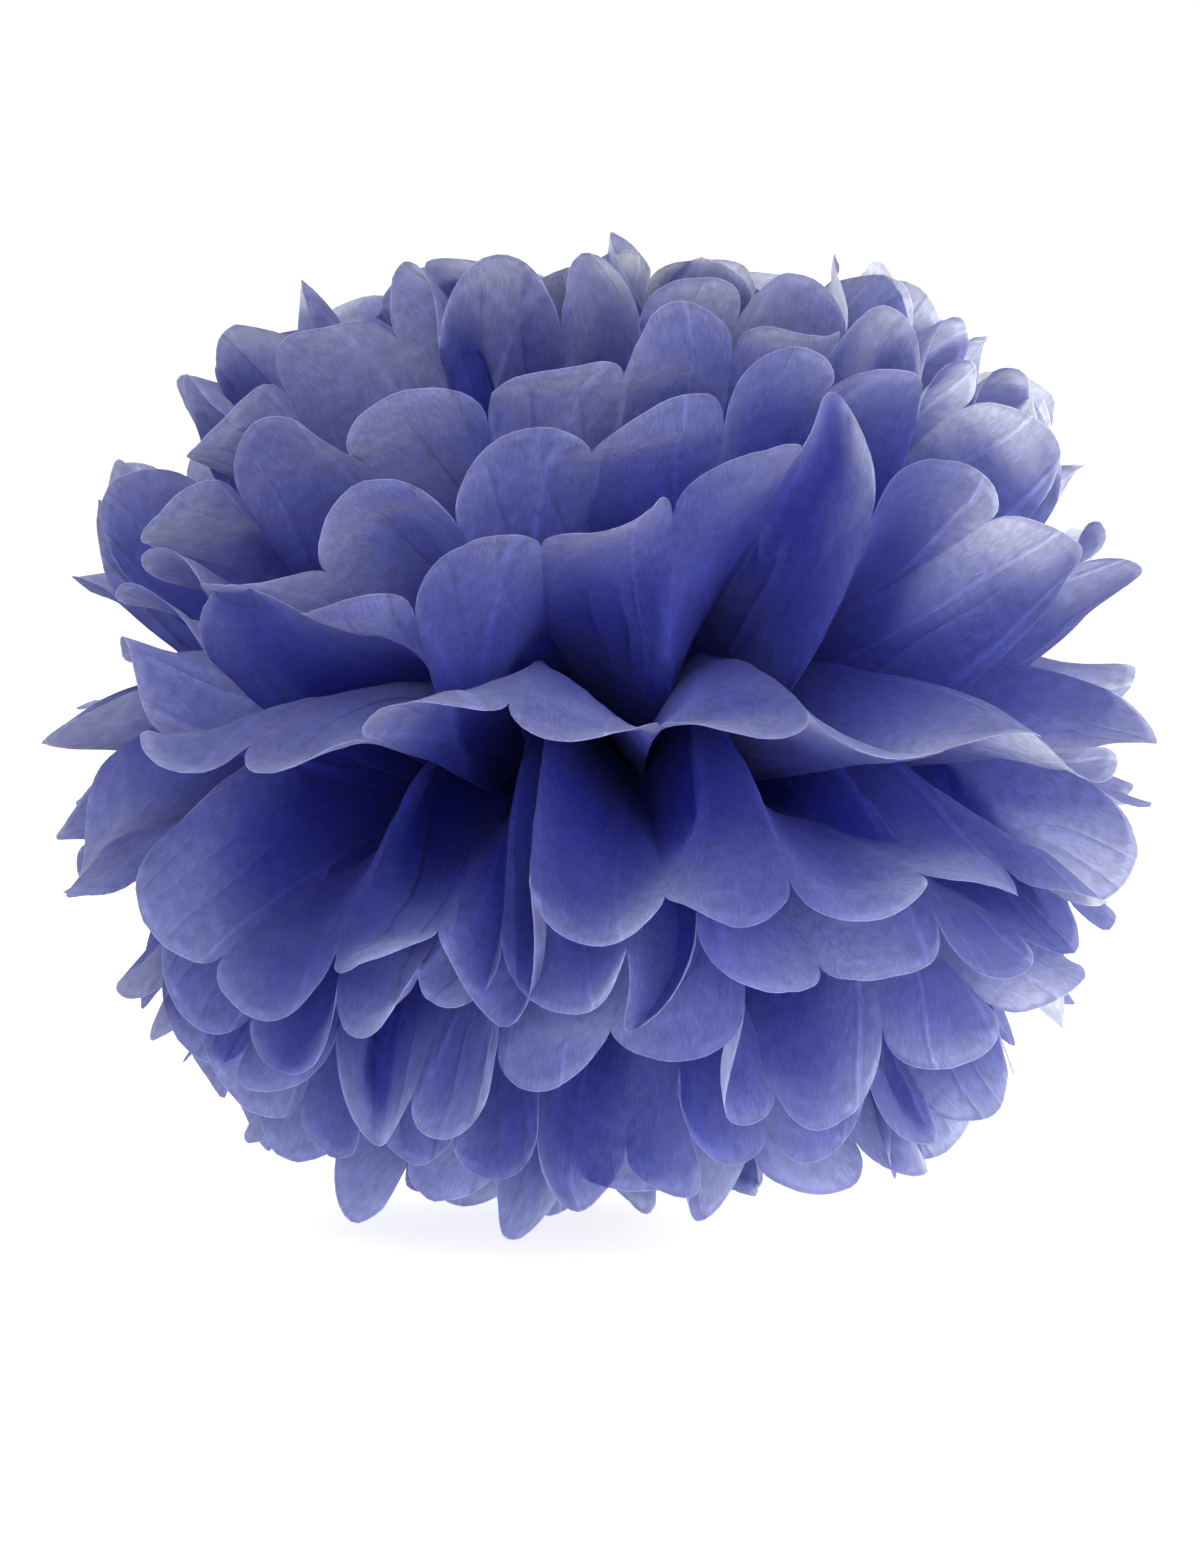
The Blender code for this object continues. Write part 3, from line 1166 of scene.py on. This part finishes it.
def look_at(thing: bpy.types.Object, aim: Vector, azimuth: float, elevation: float,
            distance: float) -> None:
    """Put a lamp or a camera on a line out of a point, facing the point, and link it.

    Args:
        thing: the lamp or camera.
        aim: the point.
        azimuth: the line's turn to the right of the front, in radians.
        elevation: its angle above the level, in radians.
        distance: how far out the thing stands.
    """
    level = math.cos(elevation)
    way = Vector((math.sin(azimuth) * level, -math.cos(azimuth) * level, math.sin(elevation)))
    thing.location = aim + way * distance
    thing.rotation_mode = "QUATERNION"
    thing.rotation_quaternion = (-way).to_track_quat("-Z", "Y")
    bpy.context.scene.collection.objects.link(thing)


@dataclass(frozen=True)
class Lamp:
    """A soft square light, aimed at the ball from an azimuth and an elevation in degrees."""

    name: str
    azimuth: float
    elevation: float
    power: float
    colour: Colour = (1.0, 0.95, 0.56)
    size: float = 1.2
    distance: float = 2.0

    def build(self, aim: Vector) -> None:
        """Put the lamp in the scene.

        Args:
            aim: the point that it faces.
        """
        light = bpy.data.lights.new(self.name, "AREA")
        light.energy = self.power
        light.size = self.size
        light.color = self.colour
        lamp = bpy.data.objects.new(self.name, light)
        look_at(lamp, aim, math.radians(self.azimuth), math.radians(self.elevation), self.distance)


@dataclass
class Studio:
    """A white room: a pale floor, a sky that darkens upwards, soft lamps and the camera."""

    view_width: float = 0.363
    distance: float = 1.6
    elevation: float = math.radians(4)
    azimuth: float = VIEW_TURN
    image: tuple[int, int] = (1200, 1556)
    aim_drop: float = 0.0144
    sensor: float = 36.0
    gamma: float = 0.74
    bounces: int = 8
    sky: Colour = (1.2, 1.16, 1.0)
    bright_wall: float = 0.25
    ceiling: float = 0.38
    floor_radius: float = 6.0
    floor_corners: int = 96
    floor_finish: FloorFinish = FloorFinish()
    lamps: tuple[Lamp, ...] = (
        Lamp("key_lamp", azimuth=-100, elevation=50, power=6),
        Lamp("back_lamp", azimuth=118, elevation=0, power=84),
        Lamp("side_lamp", azimuth=48, elevation=-4, power=42),
        Lamp("front_lamp", azimuth=-22, elevation=0, power=15, colour=(0.3, 0.36, 1.0)),
    )

    def build(self) -> None:
        """Make the room, the floor, the lamps and the camera."""
        scene = bpy.context.scene
        scene.view_settings.view_transform = "Standard"
        scene.view_settings.gamma = self.gamma
        scene.cycles.max_bounces = self.bounces
        self._sky()
        low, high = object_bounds()
        middle = (Vector(low) + Vector(high)) / 2
        self._floor(low[2])
        for lamp in self.lamps:
            lamp.build(middle)
            log.info("lit %s", lamp.name)
        self._camera(middle - Vector((0, 0, self.aim_drop)))

    def _sky(self) -> None:
        """Light the room evenly up to the top of its wall, and less towards the ceiling."""
        world = bpy.data.worlds.new("white_room")
        bpy.context.scene.world = world
        world.use_nodes = True
        nodes = Nodes(world.node_tree)
        height = nodes.add("SeparateXYZ", {0: nodes.add("TexCoord").outputs["Generated"]})
        fall = nodes.add("MapRange", {"Value": height.outputs["Z"], "From Min": self.bright_wall,
                                      "To Min": 1.0, "To Max": self.ceiling})
        background = world.node_tree.nodes["Background"]
        nodes.fill(background, {"Color": (*self.sky, 1), "Strength": fall.outputs[0]})

    def _floor(self, height: float) -> None:
        """Lay a round floor.

        Args:
            height: the height that the ball stands at.
        """
        mesh = bpy.data.meshes.new("floor")
        turn = np.linspace(0, 2 * math.pi, self.floor_corners, endpoint=False)
        across, along = self.floor_radius * np.cos(turn), self.floor_radius * np.sin(turn)
        rim = np.stack([across, along, height + 0 * turn], -1)
        mesh.from_pydata(rim.tolist(), [], [list(range(self.floor_corners))])
        mesh.materials.append(self.floor_finish.material())
        floor = bpy.data.objects.new("floor", mesh)
        bpy.context.scene.collection.objects.link(floor)
        floor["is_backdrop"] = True
        log.info("laid %s", floor.name)

    def _camera(self, aim: Vector) -> None:
        """Aim a long lens at the ball from the photograph's height.

        Args:
            aim: the point in the middle of the view.
        """
        lens = bpy.data.cameras.new("camera")
        view_height = self.view_width * self.image[1] / self.image[0]
        lens.sensor_width = self.sensor
        lens.lens = self.sensor / view_height * self.distance
        camera = bpy.data.objects.new("camera", lens)
        look_at(camera, aim, self.azimuth, self.elevation, self.distance)
        bpy.context.scene.camera = camera


def main() -> None:
    """Build the pom pom and the studio."""
    logging.basicConfig(level=logging.INFO, format="%(name)s: %(message)s")
    PomPom().build()
    TieWire().build()
    Studio().build()


if __name__ == "__main__":
    main()
